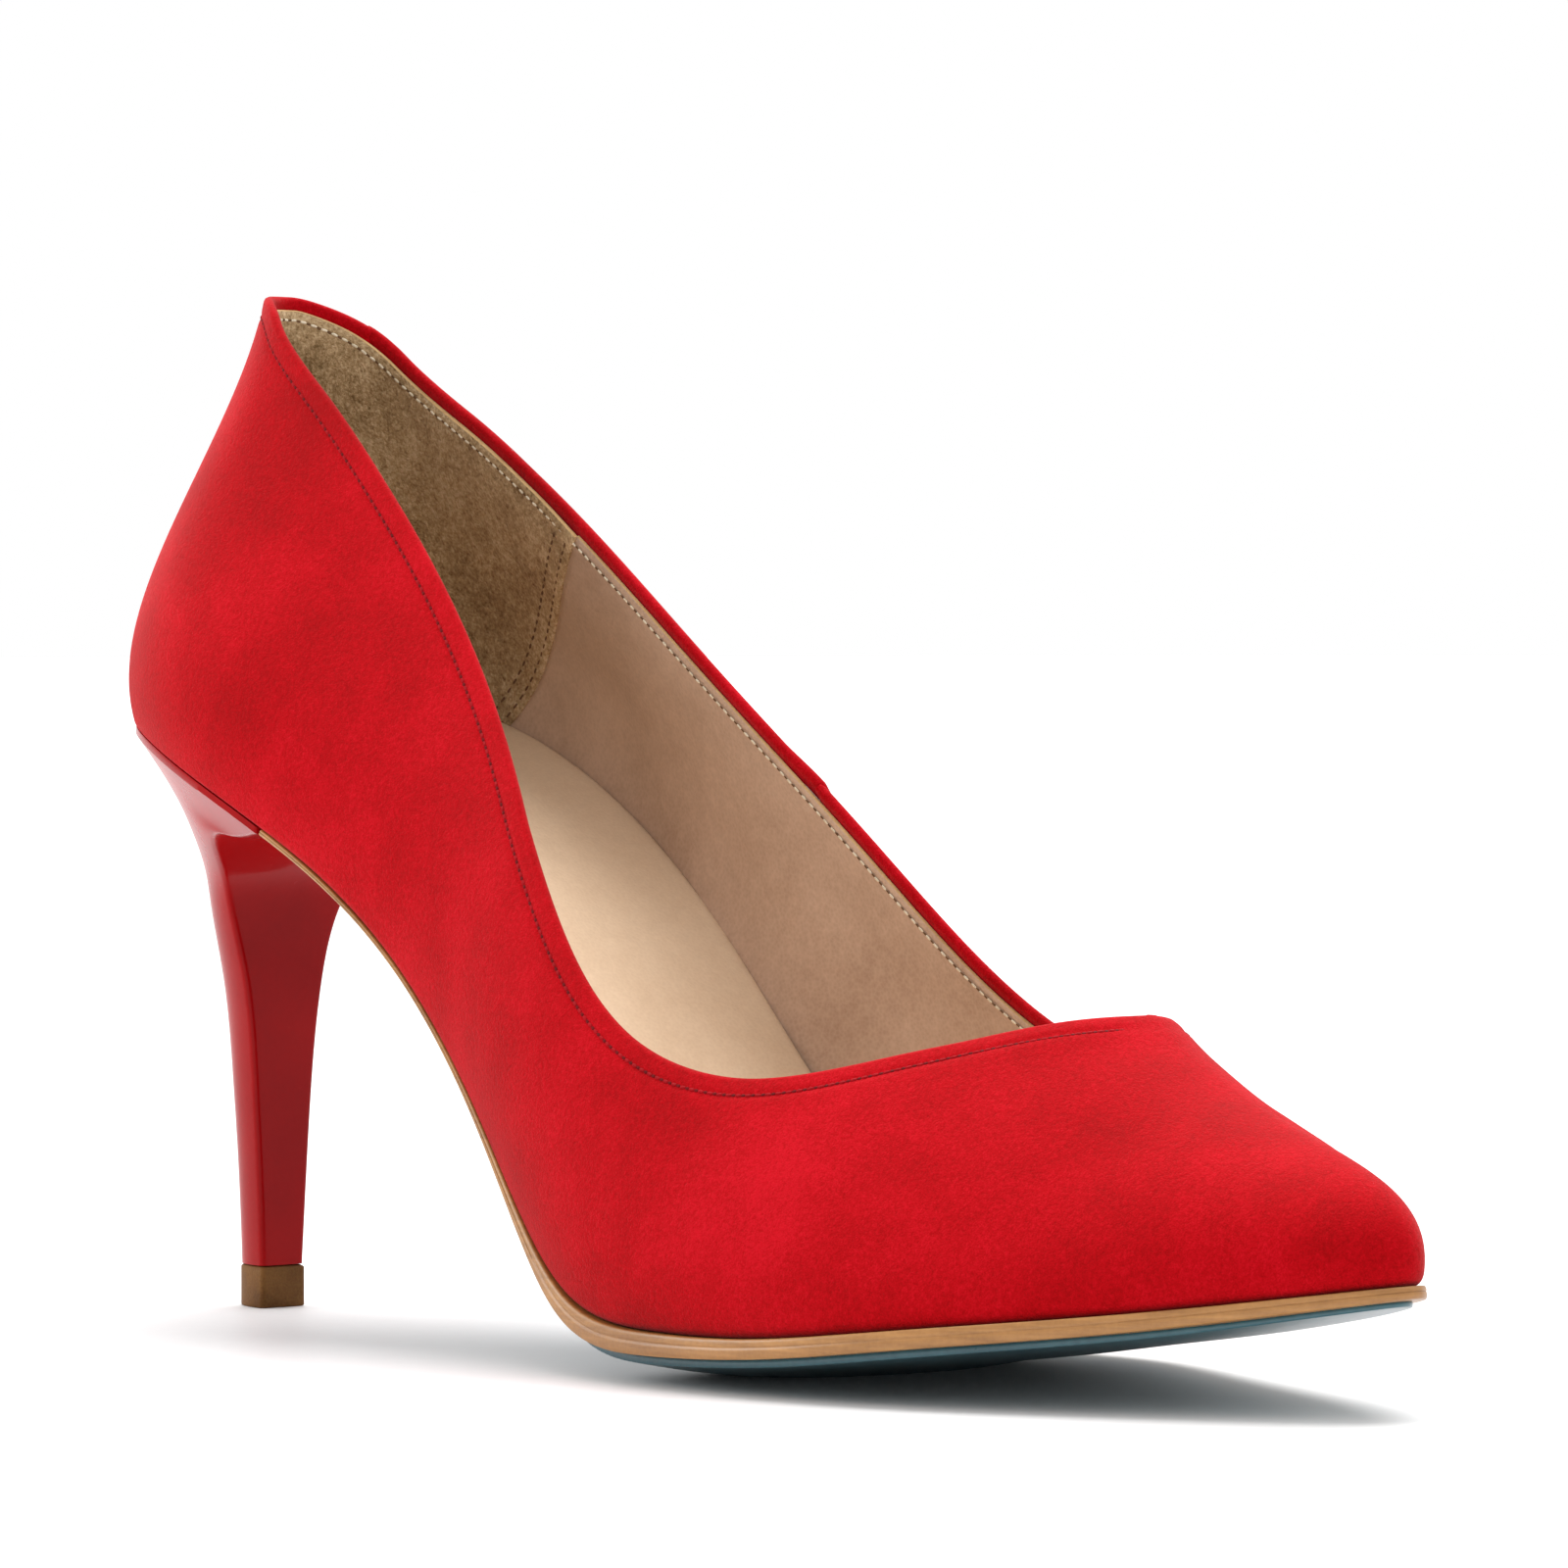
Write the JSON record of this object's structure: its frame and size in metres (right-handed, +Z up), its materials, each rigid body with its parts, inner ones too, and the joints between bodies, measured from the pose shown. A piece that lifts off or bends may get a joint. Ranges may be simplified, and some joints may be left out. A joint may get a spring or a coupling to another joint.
{
  "type": "high heel pump",
  "caption": "Closed pointed-toe pump for the right foot: two-piece suede upper, leather lining, arched sole, slim lacquered stiletto heel with a rubber top piece.",
  "frame": {"origin": "floor level under the middle of the shoe's plan box", "axes": "+Z up from the floor the shoe stands on; -Y from the heel towards the toe; +X towards the inner (medial) side of this right shoe"},
  "size_m": [0.0756, 0.2326, 0.1375],
  "materials": {
    "red_suede": "suede nap",
    "cotton_backing": "woven cotton",
    "stiffener": "matt",
    "lining_leather": "smooth, soft sheen",
    "grip_suede": "suede nap",
    "sock_leather": "smooth",
    "fibreboard": "pressed fibre",
    "steel": "brushed",
    "cork": "granular",
    "sole_tan": "waxed edge",
    "sole_teal": "satin",
    "heel_lacquer": "gloss lacquer",
    "tip_rubber": "matt"
  },
  "bodies": {
    "root": {"vamp_and_outer_quarter": "red_suede", "inner_quarter": "red_suede", "heel_counter": "stiffener", "outer_quarter_backer": "cotton_backing", "inner_quarter_backer": "cotton_backing", "vamp_backer": "cotton_backing", "toe_puff": "stiffener", "vamp_lining": "lining_leather", "heel_grip_lining": "grip_suede", "insole_board": "fibreboard", "sock_lining": "sock_leather", "steel_shank": "steel", "bottom_filler": "cork", "sole_body": "sole_tan", "outsole_tread": "sole_teal", "heel": "heel_lacquer", "heel_tube": "steel", "heel_screw": "steel", "heel_nail_1": "steel", "heel_nail_2": "steel", "heel_nail_3": "steel", "heel_nail_4": "steel", "top_piece": "tip_rubber", "top_piece_pin": "steel"}
  },
  "joints": []
}
